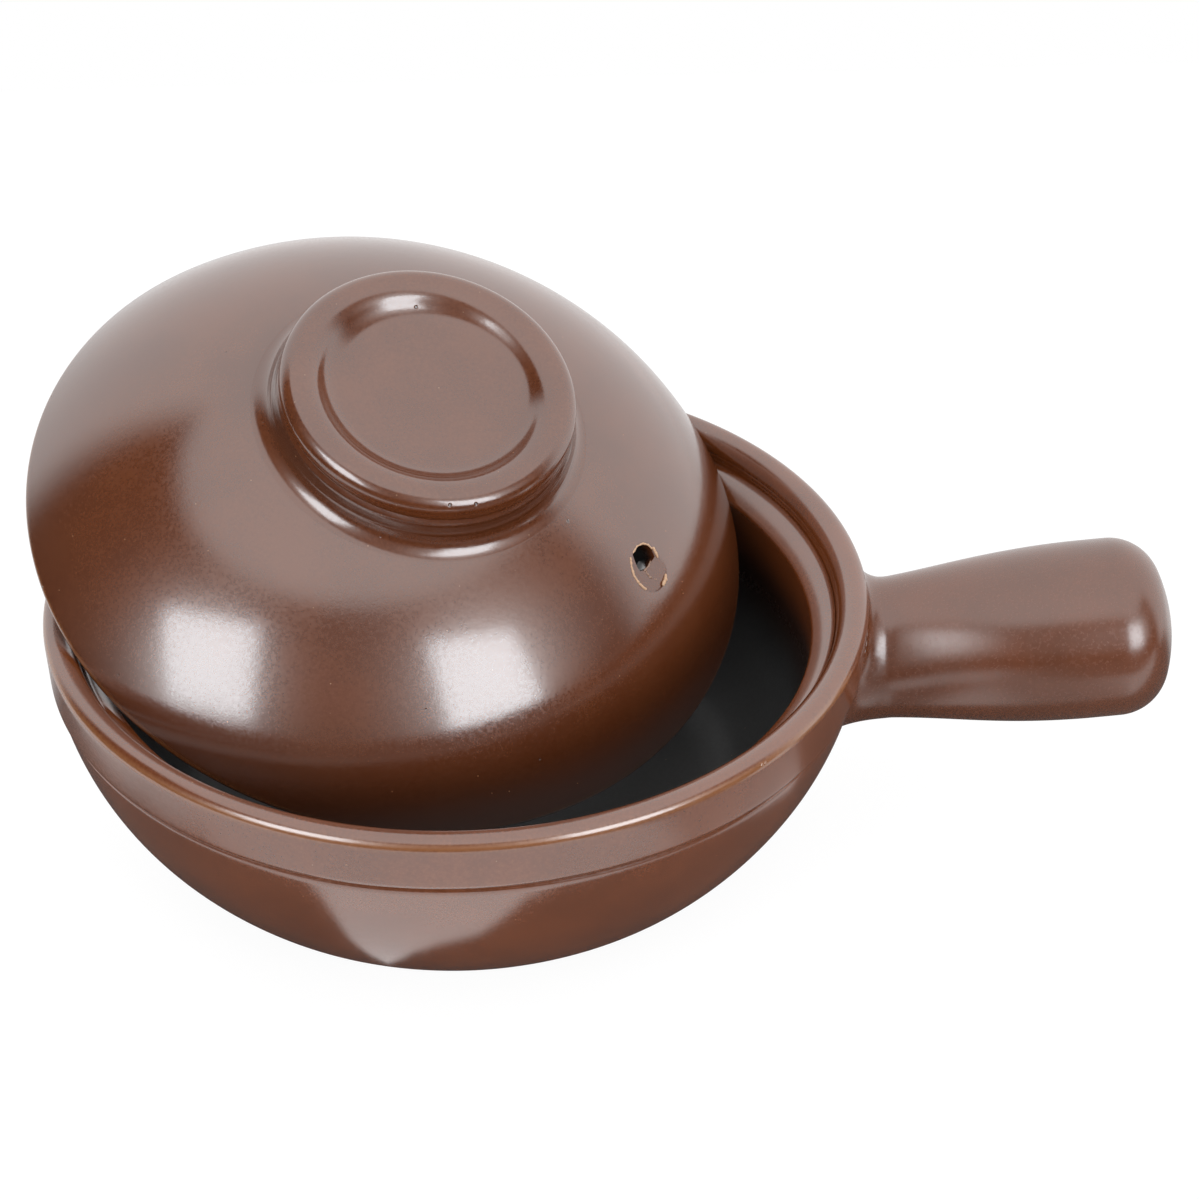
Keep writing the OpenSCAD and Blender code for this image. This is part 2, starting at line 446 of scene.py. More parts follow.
@dataclass(frozen=True)
class Glaze:
    """A satin brown glaze over clay, with a black liner glaze where the piece asks for it.

    Attributes:
        name: the material's name.
        body: the glaze's main colour.
        deep: its colour where it lies thick.
        thin: its colour where it breaks over an edge.
        dark: its colour where it runs into the liner glaze, and of the painted shade near the dome's rim and
            on the knob's neck.
        liner: colour of the liner glaze.
        clay: colour of bare clay.
        gloss: roughness of the glaze.
        gloss_spread: how far the roughness goes below and above that.
        gloss_grain: range of the grain over which it does.
        liner_rough: what the liner glaze adds to the roughness.
        clay_rough: what bare clay adds to it.
        index: the glaze's index of refraction.
        pits: places of single larger pits, in millimetres.
        pit_r: radius of those pits, in millimetres.
        pit_core: radius of a pit's full middle, as a share of that.
        cloud: broad changes of thickness.
        grain: the glaze's grain.
        fine: its finest grain.
        swell: low waves in its surface.
        flecks: spots of clay that show through.
        pins: pinholes.
        mottle: range of clouds and grain over which body takes over from deep.
        grain_share: the grain's share in that mix.
        dust: range of the finest grain that is dusted with thin glaze, and the dust's full share.
        edge: range of the thin share over which the glaze breaks, and the grain's share in it.
        run: range of the liner share over which the glaze darkens, towards the liner glaze or as painted
            shade on the lid.
        cover: range of the liner share over which the liner glaze covers.
        drift: how far the clouds shift the liner's edge.
        swell_bump: strength of the waves' relief, and its depth in millimetres.
        fine_bump: the same for the finest grain.
        pin_bump: the same for the pinholes.
    """

    name: str
    body: Colour = (0.135, 0.036, 0.010, 1.0)
    deep: Colour = (0.104, 0.026, 0.007, 1.0)
    thin: Colour = (0.240, 0.090, 0.032, 1.0)
    dark: Colour = (0.026, 0.010, 0.006, 1.0)
    liner: Colour = (0.004, 0.004, 0.004, 1.0)
    clay: Colour = (0.560, 0.330, 0.180, 1.0)
    gloss: float = 0.15
    gloss_spread: Point = (0.03, 0.05)
    gloss_grain: Point = (0.3, 0.7)
    liner_rough: float = 0.3
    clay_rough: float = 0.5
    index: float = 2.13
    pits: tuple[Place, ...] = ()
    pit_r: float = 0.55
    pit_core: float = 0.3
    cloud: Noise = Noise(26.0, 3.0, 0.6)
    grain: Noise = Noise(0.9, 3.0, 0.65)
    fine: Noise = Noise(0.45, 2.0, 0.6)
    swell: Noise = Noise(2.2)
    flecks: Specks = Specks(3.4, 0.2, 0.3, 0.5)
    pins: Specks = Specks(9.0, 0.32, 0.16, 0.85)
    mottle: Point = (0.38, 0.62)
    grain_share: float = 0.4
    dust: Place = (0.56, 0.80, 0.12)
    edge: Place = (0.45, 0.95, 0.35)
    run: Point = (0.02, 0.42)
    cover: Point = (0.3, 0.8)
    drift: float = 0.15
    swell_bump: Point = (0.1, 0.12)
    fine_bump: Point = (0.15, 0.06)
    pin_bump: Point = (0.6, 0.25)

    def pitting(self, graph: Graph, where: Socket) -> Socket | float:
        """Adds the pits at the stated places.

        Args:
            graph: the material's nodes.
            where: the coordinates.

        Returns:
            A value of 1 in the pits and 0 elsewhere.
        """
        deepest = 0.0
        for spot in self.pits:
            away = graph.vector("DISTANCE", {0: where, 1: Vector(spot) * MM})
            pit = graph.ramp(away, self.pit_r * MM, self.pit_core * self.pit_r * MM)
            deepest = graph.most(pit, deepest)
        return deepest

    def material(self) -> Material:
        """Builds the material.

        Returns:
            The finished material.
        """
        made = bpy.data.materials.new(self.name)
        graph = Graph(made)
        where = graph.node("TexCoord").outputs["Object"]
        bare = graph.layer("bare")
        cloud = graph.noise(where, self.cloud)
        grain = graph.noise(where, self.grain)
        fine = graph.noise(where, self.fine)
        reach = graph.plus(graph.layer("liner"), graph.times(graph.minus(cloud, 0.5), self.drift))
        lined = graph.ramp(reach, *self.cover)
        pin = graph.most(graph.specks(where, self.pins), self.pitting(graph, where))

        mixed = graph.plus(graph.times(cloud, 1 - self.grain_share), graph.times(grain, self.grain_share))
        colour = graph.blend(graph.ramp(mixed, *self.mottle), self.deep, self.body)
        dusting = graph.ramp(fine, self.dust[0], self.dust[1], 0.0, self.dust[2])
        colour = graph.blend(dusting, colour, self.thin)
        broken = graph.plus(graph.layer("thin"), graph.times(grain, self.edge[2]))
        colour = graph.blend(graph.ramp(broken, self.edge[0], self.edge[1]), colour, self.thin)
        colour = graph.blend(graph.ramp(reach, *self.run), colour, self.dark)
        colour = graph.blend(lined, colour, self.liner)
        colour = graph.blend(bare, colour, self.clay)
        flecks = graph.times(graph.specks(where, self.flecks), self.flecks.strength)
        colour = graph.blend(flecks, colour, self.clay)
        colour = graph.blend(graph.times(pin, self.pins.strength), colour, self.dark)

        low, high = self.gloss_spread
        rough = graph.ramp(grain, *self.gloss_grain, self.gloss - low, self.gloss + high)
        rough = graph.plus(rough, graph.times(lined, self.liner_rough))
        rough = graph.plus(rough, graph.times(bare, self.clay_rough))
        waves = graph.bump(graph.noise(where, self.swell), *self.swell_bump)
        skin = graph.bump(fine, *self.fine_bump, waves)
        holes = graph.bump(pin, *self.pin_bump, skin, invert=True)
        shader = graph.node("BsdfPrincipled", {"Base Color": colour, "Roughness": rough, "IOR": self.index,
                                               "Normal": holes})
        graph.node("OutputMaterial", {"Surface": shader.outputs[0]})
        return made


@dataclass(frozen=True)
class Coat:
    """How the glaze lies on one point of a piece, each from 0 to 1.

    Attributes:
        thin: share of glaze broken over an edge.
        liner: share of liner glaze; on the lid's outside, a share of painted shade.
        bare: share of bare clay.
    """

    thin: float = 0.0
    liner: float = 0.0
    bare: float = 0.0


class Piece:
    """A modelled piece, from its mesh to its place in the frame."""

    def __init__(self, name: str, solid: Solid) -> None:
        """Makes an object from a solid and frees the solid."""
        self.mesh = as_mesh(name, solid)
        self.item = put(name, self.mesh)

    def cut(self, tool: Solid) -> None:
        """Cuts a solid out of the piece and frees the solid.

        Args:
            tool: the solid, in metres.
        """
        cutter = Piece(self.item.name + "_tool", tool)
        step = self.item.modifiers.new("cut", "BOOLEAN")
        step.operation = "DIFFERENCE"
        step.solver = "EXACT"
        step.object = cutter.item
        graph = bpy.context.evaluated_depsgraph_get()
        made = bpy.data.meshes.new_from_object(self.item.evaluated_get(graph))
        self.item.modifiers.clear()
        self.item.data = made
        bpy.data.meshes.remove(self.mesh)
        self.mesh = made
        bpy.data.objects.remove(cutter.item)

    def coat(self, rule: Callable[[Vector], Coat]) -> None:
        """Stores how the glaze lies, as three attributes of the mesh.

        Args:
            rule: gives the Coat of a vertex from its place, in millimetres.
        """
        coats = [rule(vert.co / MM) for vert in self.mesh.vertices]
        for key in ("thin", "liner", "bare"):
            layer = self.mesh.attributes.new(key, "FLOAT", "POINT")
            layer.data.foreach_set("value", [getattr(coat, key) for coat in coats])

    def place(self, pose: Matrix) -> None:
        """Moves the mesh itself to its place, and leaves the object at the origin."""
        self.mesh.transform(pose)

    def finish(self, material: Material, body: Body, slot: str, node: str | None = None) -> None:
        """Dresses the piece and joins it to the frame.

        Args:
            material: its finish.
            body: the body that it rides on.
            slot: the record's slot of its finish; not used.
            node: the CAD node that it stands for, if it stands for one.
        """
        self.mesh.materials.clear()
        self.mesh.materials.append(material)
        self.mesh.polygons.foreach_set("use_smooth", [True] * len(self.mesh.polygons))
        self.mesh.set_sharp_from_angle(angle=math.radians(SHARP_FROM))
        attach(self.item, body.value)
        if node:
            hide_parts(node)
        LOG.info("%s: %d faces", self.item.name, len(self.mesh.polygons))


@dataclass
class Bowl:
    """The bowl: lip, lid seat, round wall and flat base. Sizes are in millimetres, angles in degrees."""

    lip_r: float = 100.0
    lip_z: float = 66.0
    lip_w: float = 8.1
    lip_crown: float = 0.9
    lip_round: float = 4.6
    lip_edge_round: float = 3.0
    bore_slope: float = 78.0
    bore_low: float = 1.0
    # Faint lines on the bore: how far down it each lies, as a share, and its depth.
    bore_lines: tuple[Point, ...] = ((0.30, 0.05), (0.66, 0.04))
    bore_line_share: float = 0.045
    band_h: float = 13.45
    band_taper: float = 0.6
    # The band's rounded foot: how far in from its side and up from the groove each point lies.
    band_foot: tuple[Point, ...] = ((1.1, 0.08), (0.75, 0.22), (0.42, 0.42), (0.18, 0.7), (0.05, 1.05),
                                    (0.0, 1.5))
    groove_d: float = 0.8
    groove_h: float = 1.4
    # The wall's rounded top: how far down from the groove and in from the wall each point lies.
    groove_side: tuple[Point, ...] = ((1.1, 0.08), (0.75, 0.25), (0.45, 0.46), (0.15, 0.55))
    base_r: float = 63.4
    foot_round: float = 1.5
    wall_curve: float = 78.0
    wall_t: float = 6.5
    floor_t: float = 8.0
    floor_round: float = 18.0
    shoulder_round: float = 30.0
    seat_depth: float = 6.5
    seat_w: float = 5.8
    seat_slope: float = 28.0
    seat_round: float = 2.0
    seat_fillet: float = 2.0
    # Half the height over which the outside runs smoothly past the groove, under the handle's root.
    join_half: float = 5.0
    # Where glaze is thin: full share and reach on the lip's edge and in the groove, and share on the band,
    # with painted light as more thin glaze on the band's lit front.
    lip_thin: Point = (0.9, 2.2)
    lip_thin_in: float = 0.6
    lip_thin_down: float = 2.0
    lip_thin_x: Point = (90.0, 96.0)
    groove_thin: Point = (0.9, 1.4)
    groove_thin_in: float = 0.6
    band_thin: float = 0.2
    band_thin_in: Point = (1.0, 2.0)
    band_front_painted_light: float = 0.1
    band_painted_light_y: Point = (55.0, 95.0)
    # The liner glaze starts below the seat, and is full a run further down.
    liner_below: float = 2.5
    liner_run: float = 34.0
    bare_h: float = 0.4
    # A nub of clay on the lip: its turn, and each spot's way in from the lip and turn aside in radians.
    nub_turn: float = -45.8
    nub_down: float = 1.1
    nub_spots: tuple[Point, ...] = ((1.1, -0.014), (0.9, -0.004), (1.3, 0.004))
    nub: Crumbs = Crumbs(0.85, 0.6, 2.0)
    nub_thin: float = 0.8
    turns: int = 256
    wobble: Wobble = Wobble(0.16, 34.0, 3.1)

    def __post_init__(self) -> None:
        """Works out the places that follow from the sizes."""
        self.bore_r = self.lip_r - self.lip_w
        self.crest_z = self.lip_z + self.lip_crown
        self.inner_r = self.bore_r - self.seat_w
        self.groove_z = self.lip_z - self.band_h
        self.band_low_r = self.lip_r - self.band_taper
        top = (self.band_low_r - self.groove_d, self.groove_z)
        foot = (self.base_r, 0.0)
        half = math.dist(top, foot) / 2
        way = ((top[0] - foot[0]) / (2 * half), (top[1] - foot[1]) / (2 * half))
        reach = leg(self.wall_curve, half)
        self.wall_c = ((top[0] + foot[0]) / 2 - way[1] * reach, (top[1] + foot[1]) / 2 + way[0] * reach)
        self.wall_top_a = bearing(self.wall_c, top)
        foot_x = self.wall_c[0] + leg(self.wall_curve - self.foot_round, self.wall_c[1] - self.foot_round)
        self.foot_c = (foot_x, self.foot_round)
        self.foot_a = bearing(self.wall_c, self.foot_c)
        self.inner_curve = self.wall_curve - self.wall_t

    def seat_height(self, radius: float) -> float:
        """Gives the height of the lid's seat at a radius."""
        fall = (self.bore_r - radius) * math.tan(math.radians(self.seat_slope))
        return self.lip_z - self.seat_depth - fall

    def wall_radius(self, height: float) -> float:
        """Gives the radius of the outside's round wall at a height, up to the groove."""
        return self.wall_c[0] + leg(self.wall_curve, self.wall_c[1] - max(height, 0.0))

    def join_radius(self, height: float) -> float:
        """Gives the outside's radius at a height, with a smooth run over the groove.

        Args:
            height: the height, in millimetres.

        Returns:
            The radius that the handle's root follows, in millimetres.
        """
        wall = self.wall_radius(min(height, self.groove_z))
        over = fade(height, self.groove_z - self.join_half, self.groove_z + self.join_half)
        return wall + (self.lip_r - wall) * over

    def outside(self) -> list[Point]:
        """Lists the outline from the middle of the base to the top of the lip.

        Returns:
            Radius and height of each point, in millimetres.
        """
        edge = self.lip_edge_round
        wall_end = self.wall_top_a - math.degrees(self.groove_h / self.wall_curve)
        groove = [(self.wall_radius(self.groove_z - down) - sunk, self.groove_z - down)
                  for down, sunk in self.groove_side]
        low = [(self.band_low_r - back, self.groove_z + up) for back, up in self.band_foot]
        return ([(0.0, 0.0)]
                + line_points((0.0, 0.0), (self.foot_c[0], 0.0), 12)
                + arc_points(self.foot_c, self.foot_round, -90, self.foot_a, 5)
                + arc_points(self.wall_c, self.wall_curve, self.foot_a, wall_end, 44)[1:]
                + groove + low
                + line_points(low[-1], (self.lip_r, self.crest_z - edge), 10)
                + arc_points((self.lip_r - edge, self.crest_z - edge), edge, 0, 90, 12))

    def bore(self) -> list[Point]:
        """Lists the outline from the top of the lip down the bore, with the faint lines that throwing left.

        Returns:
            Radius and height of each point, in millimetres.
        """
        slope = math.radians(self.bore_slope)
        top = self.bore_r + (self.seat_depth + self.lip_crown - self.bore_low) / math.tan(slope)
        lip_c = (top + self.lip_round * math.tan(slope / 2), self.crest_z - self.lip_round)
        lip = arc_points(lip_c, self.lip_round, 90, 90 + self.bore_slope, 10)
        foot = (self.bore_r, self.lip_z - self.seat_depth + self.bore_low)
        steps = 26
        lined = []
        for k, (x, z) in enumerate(line_points(lip[-1], foot, steps)):
            share = (k + 1) / steps
            depth = sum(size * hump(share, at, self.bore_line_share) for at, size in self.bore_lines)
            lined.append((x + depth * math.sin(slope), z - depth * math.cos(slope)))
        return lip + lined

    def inside(self) -> list[Point]:
        """Lists the outline from the foot of the bore to the middle of the floor.

        Returns:
            Radius and height of each point, in millimetres.
        """
        seat = self.seat_round
        fillet = self.seat_fillet
        slope = math.radians(self.seat_slope)
        seat_x = self.inner_r + seat
        seat_c = (seat_x, self.seat_height(seat_x) - seat / math.cos(slope))
        corner = (self.bore_r - fillet, self.lip_z - self.seat_depth + fillet)
        shoulder_x = self.inner_r - self.shoulder_round
        shoulder_c = (shoulder_x, self.wall_c[1]
                      - leg(self.inner_curve - self.shoulder_round, shoulder_x - self.wall_c[0]))
        shoulder_a = bearing(self.wall_c, shoulder_c)
        floor_z = self.floor_t + self.floor_round
        floor_x = self.wall_c[0] + leg(self.inner_curve - self.floor_round, self.wall_c[1] - floor_z)
        floor_a = bearing(self.wall_c, (floor_x, floor_z))
        return (arc_points(corner, fillet, self.bore_slope - 90, -90, 5)
                + arc_points(seat_c, seat, 90 + self.seat_slope, 180, 7)
                + line_points((self.inner_r, seat_c[1]), (self.inner_r, shoulder_c[1]), 6)
                + arc_points(shoulder_c, self.shoulder_round, 0, shoulder_a, 10)
                + arc_points(self.wall_c, self.inner_curve, shoulder_a, floor_a, 14)[1:]
                + arc_points((floor_x, floor_z), self.floor_round, floor_a, -90, 10)[1:]
                + line_points((floor_x, self.floor_t), (0.0, self.floor_t), 12)
                + [(0.0, self.floor_t)])

    def is_inside(self, radius: float, height: float) -> bool:
        """Tells whether a place on the bowl lies on its inside, under the seat.

        Args:
            radius: the place's distance from the axis, in millimetres.
            height: its height, in millimetres.

        Returns:
            Whether the liner glaze can lie there.
        """
        from_centre = math.hypot(radius - self.wall_c[0], height - self.wall_c[1])
        near = radius < self.wall_c[0] or from_centre < self.wall_curve - self.wall_t / 2
        return radius < self.inner_r + NEAR_MM and height > self.floor_t - NEAR_MM and near

    def glazing(self, place: Vector) -> Coat:
        """Gives the glaze at a place: brown outside, liner inside, bare under the base, with painted light
        on the band's front.

        Args:
            place: the place, in millimetres.

        Returns:
            How the glaze lies there.
        """
        radius = math.hypot(place.x, place.y)
        edge = math.hypot(radius - self.lip_r + self.lip_thin_in,
                          place.z - self.crest_z + self.lip_thin_down)
        lip = (self.lip_thin[0] - edge / self.lip_thin[1]) * (1 - fade(place.x, *self.lip_thin_x))
        step = math.hypot(radius - self.band_low_r + self.groove_thin_in, place.z - self.groove_z)
        groove = self.groove_thin[0] * (1 - step / self.groove_thin[1])
        band = 0.0
        low, high = self.band_thin_in
        if self.groove_z + low < place.z < self.lip_z - high and radius > self.band_low_r - NEAR_MM:
            # Painted light: the band's front, towards the lamps, turns more to the thin glaze's lighter
            # colour.
            band = self.band_thin + self.band_front_painted_light * fade(-place.y, *self.band_painted_light_y)
        deep = held((self.seat_height(self.inner_r) - self.liner_below - place.z) / self.liner_run)
        base = place.z < self.bare_h and radius < self.foot_c[0]
        lined = deep if self.is_inside(radius, place.z) else 0.0
        return Coat(max(lip, groove, band), lined, 1.0 if base else 0.0)

    def build(self, finish: Material) -> None:
        """Models the bowl and the nub on its lip, and joins them to the frame.

        Args:
            finish: their glaze.
        """
        solid = spin_outline(self.outside() + self.bore() + self.inside(), self.turns)
        self.wobble.apply(solid, above=self.foot_round)
        piece = Piece("glazed_bowl", solid)
        piece.coat(self.glazing)
        piece.finish(finish, Body.POT, "brown_glaze", "bowl")
        spots = []
        for inward, aside in self.nub_spots:
            radius = self.lip_r - inward
            turn = math.radians(self.nub_turn) + aside
            height = self.lip_z - self.nub_down
            spots.append(Vector((radius * math.cos(turn), radius * math.sin(turn), height)))
        nub = Piece("lip_nub", self.nub.lay(spots))
        nub.coat(lambda place: Coat(thin=self.nub_thin))
        nub.finish(finish, Body.POT, "brown_glaze")


@dataclass
class Handle:
    """The stubby handle, with a fillet that follows the bowl's wall all round.

    Sizes are in millimetres and angles in degrees, in the handle's own frame: X along its axis from the
    lip outwards, Z up. A fillet has a height and a length along the axis.
    """

    bowl: Bowl
    drop: float = 21.4
    rise: float = 4.5
    length: float = 75.8
    grip_r: float = 22.05
    neck_r: float = 17.55
    swell_start: float = 5.0
    swell_len: float = 50.0
    swell_share: float = 1.2
    end_round: float = 12.7
    end_dome: float = 40.0
    top_fillet: Point = (3.8, 6.0)
    side_fillet: Point = (4.2, 8.5)
    low_fillet: Point = (2.9, 15.0)
    # The hollow that a thumb pressed into the neck: its depth, turn, spread, and range along the axis.
    dent: float = 3.4
    dent_turn: float = -62.0
    dent_spread: float = 48.0
    dent_x: Point = (2.0, 36.0)
    root_in: float = 3.0
    root_x: float = -24.0
    # Where the neck's meeting with the wall is searched along the axis, and how often that is halved.
    root_search: Point = (-30.0, 10.0)
    root_halvings: int = 30
    air_hole_r: float = 1.6
    air_hole_x: float = 16.0
    air_hole_depth: float = 7.0
    air_hole_out: float = 1.0
    turns: int = 192
    wobble: Wobble = Wobble(0.22, 21.0, 8.7)

    def pose(self) -> Matrix:
        """Gives the turn and shift from the handle's own frame to the pot's."""
        start = Vector((self.bowl.lip_r, 0.0, self.bowl.lip_z - self.drop)) * MM
        return Matrix.Translation(start) @ turned(-self.rise, "Y")

    def outline(self) -> list[Point]:
        """Lists the outline from the root to the end.

        Returns:
            The radius and the distance along the axis of each point, in millimetres.
        """
        side = self.grip_r - self.end_round
        reach = leg(self.end_dome - self.end_round, side)
        end_x = self.length - self.end_dome + reach
        end_a = math.degrees(math.atan2(side, reach))
        neck = [(self.root_x, self.neck_r)]
        neck += line_points(neck[0], (self.swell_start, self.neck_r), 46)
        swell = []
        steps = 40
        for k in range(steps + 1):
            share = k / steps
            grow = math.sin(math.pi / 2 * share) ** self.swell_share
            radius = self.neck_r + (self.grip_r - self.neck_r) * grow
            swell.append((self.swell_start + self.swell_len * share, radius))
        points = ([(self.root_x, 0.0)] + neck + swell
                  + line_points(swell[-1], (end_x, self.grip_r), 4)
                  + arc_points((end_x, side), self.end_round, 90, end_a, 22)
                  + arc_points((self.length - self.end_dome, 0.0), self.end_dome, end_a, 0, 12)[1:])
        return [(radius, along) for along, radius in points]

    def wall_at(self, turn: float) -> float:
        """Finds where the neck's side meets the bowl's wall.

        Args:
            turn: the side's direction about the axis, in radians, 0 at the top.

        Returns:
            The distance along the axis, in millimetres.
        """
        rise = math.radians(self.rise)
        side = self.neck_r * math.sin(turn)
        up = self.neck_r * math.cos(turn)
        low, high = self.root_search
        for _ in range(self.root_halvings):
            mid = (low + high) / 2
            x = self.bowl.lip_r + mid * math.cos(rise) - up * math.sin(rise)
            z = self.bowl.lip_z - self.drop + mid * math.sin(rise) + up * math.cos(rise)
            if math.hypot(x, side) > self.bowl.join_radius(z):
                high = mid
            else:
                low = mid
        return high

    def fillet_at(self, turn: float) -> Point:
        """Gives the fillet on one side of the handle.

        Args:
            turn: the side's direction about the axis, in radians, 0 at the top.

        Returns:
            The fillet's height and length, in millimetres.
        """
        up = math.cos(turn)
        other = self.top_fillet if up > 0 else self.low_fillet
        share = up * up
        return tuple(side + (end - side) * share for side, end in zip(self.side_fillet, other))

    def flare(self, along: float, turn: float, wall: float) -> float:
        """Gives how far the fillet lifts the handle's side.

        Args:
            along: the place along the axis, in millimetres.
            turn: the side's direction about the axis, in radians.
            wall: where that side meets the bowl's wall, in millimetres.

        Returns:
            The lift, in millimetres.
        """
        height, length = self.fillet_at(turn)
        share = 1 - held((along - wall) / length)
        return height * (1 - math.sqrt(max(1 - share * share, 0.0)))

    def squeeze(self, solid: Solid) -> None:
        """Presses the neck in on the side where a thumb held it.

        Args:
            solid: the handle's mesh, in its own frame.
        """
        for vert in solid.verts:
            radius = math.hypot(vert.co.y, vert.co.z)
            if radius < ON_AXIS_MM * MM:
                continue
            aside = (math.degrees(math.atan2(vert.co.y, vert.co.z)) - self.dent_turn + 180) % 360 - 180
            share = hump(aside, 0.0, self.dent_spread) * (1 - fade(vert.co.x / MM, *self.dent_x))
            vert.co.y *= 1 - share * self.dent * MM / radius
            vert.co.z *= 1 - share * self.dent * MM / radius

    def shape_root(self, solid: Solid) -> None:
        """Flares the neck into its fillet and ends it a little inside the wall.

        Args:
            solid: the handle's mesh, in its own frame.
        """
        walls = {}
        for vert in solid.verts:
            along = vert.co.x / MM
            radius = math.hypot(vert.co.y, vert.co.z) / MM
            if along > self.swell_start + self.low_fillet[1]:
                continue
            if radius < ON_AXIS_MM:
                vert.co.x = (self.wall_at(math.pi / 2) - self.root_in) * MM
                continue
            turn = math.atan2(vert.co.y, vert.co.z)
            key = round(turn, 4)
            if key not in walls:
                walls[key] = self.wall_at(turn)
            if along < self.swell_start:
                start = walls[key] - self.root_in
                share = (along - self.root_x) / (self.swell_start - self.root_x)
                along = start + share * (self.swell_start - start)
            grown = (radius + self.flare(along, turn, walls[key])) / radius
            vert.co = Vector((along * MM, vert.co.y * grown, vert.co.z * grown))

    def air_hole(self) -> Solid:
        """Makes the tool that cuts the air hole under the handle."""
        middle = Vector((self.air_hole_x, 0.0, -self.neck_r - self.air_hole_out)) * MM
        return rod(self.air_hole_r, 2 * self.air_hole_depth, Matrix.Translation(middle), sides=32)

    def build(self, finish: Material) -> None:
        """Models the handle and joins it to the frame.

        Args:
            finish: its glaze.
        """
        solid = spin_outline(self.outline(), self.turns)
        bmesh.ops.transform(solid, matrix=turned(90, "Y"), verts=solid.verts)
        self.squeeze(solid)
        self.shape_root(solid)
        self.wobble.apply(solid)
        piece = Piece("glazed_handle", solid)
        piece.cut(self.air_hole())
        piece.coat(lambda place: Coat())
        piece.place(self.pose())
        piece.finish(finish, Body.POT, "brown_glaze_handle", "handle")


@dataclass
class Lid:
    """The domed lid with its steam hole and ring knob.

    Sizes are in millimetres and angles in degrees, in the lid's own frame, with Z up its axis from the rim.
    """

    bowl: Bowl
    play: float = 2.5
    dome_h: float = 50.3
    dome_t: float = 5.5
    rim_round: float = 1.5
    knob_r: float = 35.8
    knob_h: float = 7.3
    bead_r: float = 4.4
    bead_drop: float = 2.0
    # The small step under the bead: how far in and down it goes.
    bead_step: Point = (0.45, 0.35)
    roll_r: float = 7.3
    dish_slope: float = 45.0
    dish_corner: float = 9.0
    floor_slope: float = 7.0
    knob_floor: float = 0.8
    knob_flare: float = 1.2
    knob_fillet: float = 7.0
    knob_sink: float = 0.6
    neck_lean: float = 28.0
    # Faint ridges round the neck: how far down it each lies, and their width, as shares.
    ridge_shares: tuple[float, ...] = (0.22, 0.62)
    ridge_w_share: float = 0.05
    ridge_h: float = 0.07
    lean: float = 24.0
    turn: float = -59.8
    back: float = 30.6
    side: float = -1.0
    vent_out: float = 64.15
    vent_turn: float = 37.35
    # Where glaze is thin or lined, and where shade is painted: reach on the rim, share and ranges of painted
    # shade low on the dome (deeper on the lid's low side), and on the knob thin glaze and painted shade
    # under the bead.
    rim_thin: float = 2.2
    rim_thin_in: float = 0.3
    liner_z: Point = (0.5, 4.0)
    painted_rim_shade: float = 0.14
    painted_rim_shade_x: Point = (10.0, 80.0)
    painted_rim_shade_h: float = 30.0
    crest_thin: float = 0.28
    crest_in: Point = (5.5, 1.5)
    crest_z: Point = (-1.0, 2.0)
    corner_thin: Point = (0.75, 1.2)
    corner_in: float = 0.5
    neck_painted_shade: float = 0.19
    neck_in: float = 3.0
    neck_out: float = 4.0
    neck_z: Point = (-4.5, -2.5)
    turns: int = 288
    dome_wobble: Wobble = Wobble(0.14, 30.0, 5.3)
    knob_wobble: Wobble = Wobble(0.10, 14.0, 1.9)

    def __post_init__(self) -> None:
        """Works out the dome's sphere and the knob's places."""
        self.rim_r = self.bowl.bore_r - self.play
        self.rim_c = (self.rim_r - self.rim_round, 0.0)
        short = self.dome_h - self.rim_round
        self.dome_drop = (self.rim_c[0] ** 2 - short ** 2) / (2 * short)
        self.dome_r = self.dome_drop + self.dome_h
        self.dome_c = (0.0, -self.dome_drop)
        self.rim_a = bearing(self.dome_c, self.rim_c)
        self.dome_in_r = self.dome_r - self.dome_t
        self.rim_in_c = (leg(self.dome_in_r + self.rim_round, self.dome_drop), 0.0)
        self.rim_in_a = bearing(self.dome_c, self.rim_in_c)
        self.knob_top = self.dome_h + self.knob_h
        self.crest_x = self.knob_r - self.bead_r
        self.bead_z = self.knob_top - self.bead_r
        self.low_a = -math.degrees(math.asin(self.bead_drop / self.bead_r))
        low_x = self.crest_x + self.bead_r * math.cos(math.radians(self.low_a))
        foot_x = low_x + self.knob_flare + self.knob_fillet
        self.fillet_c = (foot_x, leg(self.dome_r + self.knob_fillet, foot_x) - self.dome_drop)
        self.knob_foot_a = bearing(self.dome_c, self.fillet_c)

    def pose(self) -> Matrix:
        """Gives the lid's place: leaning in the mouth, at the height that the frame gives.

        Returns:
            The turn and shift from the lid's own frame to the pot's.
        """
        toward = Vector((math.cos(math.radians(self.turn)), math.sin(math.radians(self.turn)), 0.0))
        across = Vector((-toward.y, toward.x, 0.0))
        rim_high = self.rim_c[0] * math.sin(math.radians(self.lean)) + self.rim_round
        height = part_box("lid_dome")[0].z + rim_high * MM
        shift = (across * self.side - toward * self.back) * MM + Vector((0.0, 0.0, height))
        return Matrix.Translation(shift) @ (turned(self.turn, "Z") @ turned(self.lean, "Y"))

    def dome_outline(self) -> list[Point]:
        """Lists the dome's outline from the top, over the rim, to the middle of the underside.

        Returns:
            Radius and height of each point, in millimetres.
        """
        return (arc_points(self.dome_c, self.dome_r, 90, self.rim_a, 92)
                + arc_points(self.rim_c, self.rim_round, self.rim_a, -90, 10)[1:]
                + line_points((self.rim_c[0], -self.rim_round), (self.rim_in_c[0], -self.rim_round), 3)
                + arc_points(self.rim_in_c, self.rim_round, -90, self.rim_in_a - 180, 7)
                + arc_points(self.dome_c, self.dome_in_r, self.rim_in_a, 90, 40)[1:])

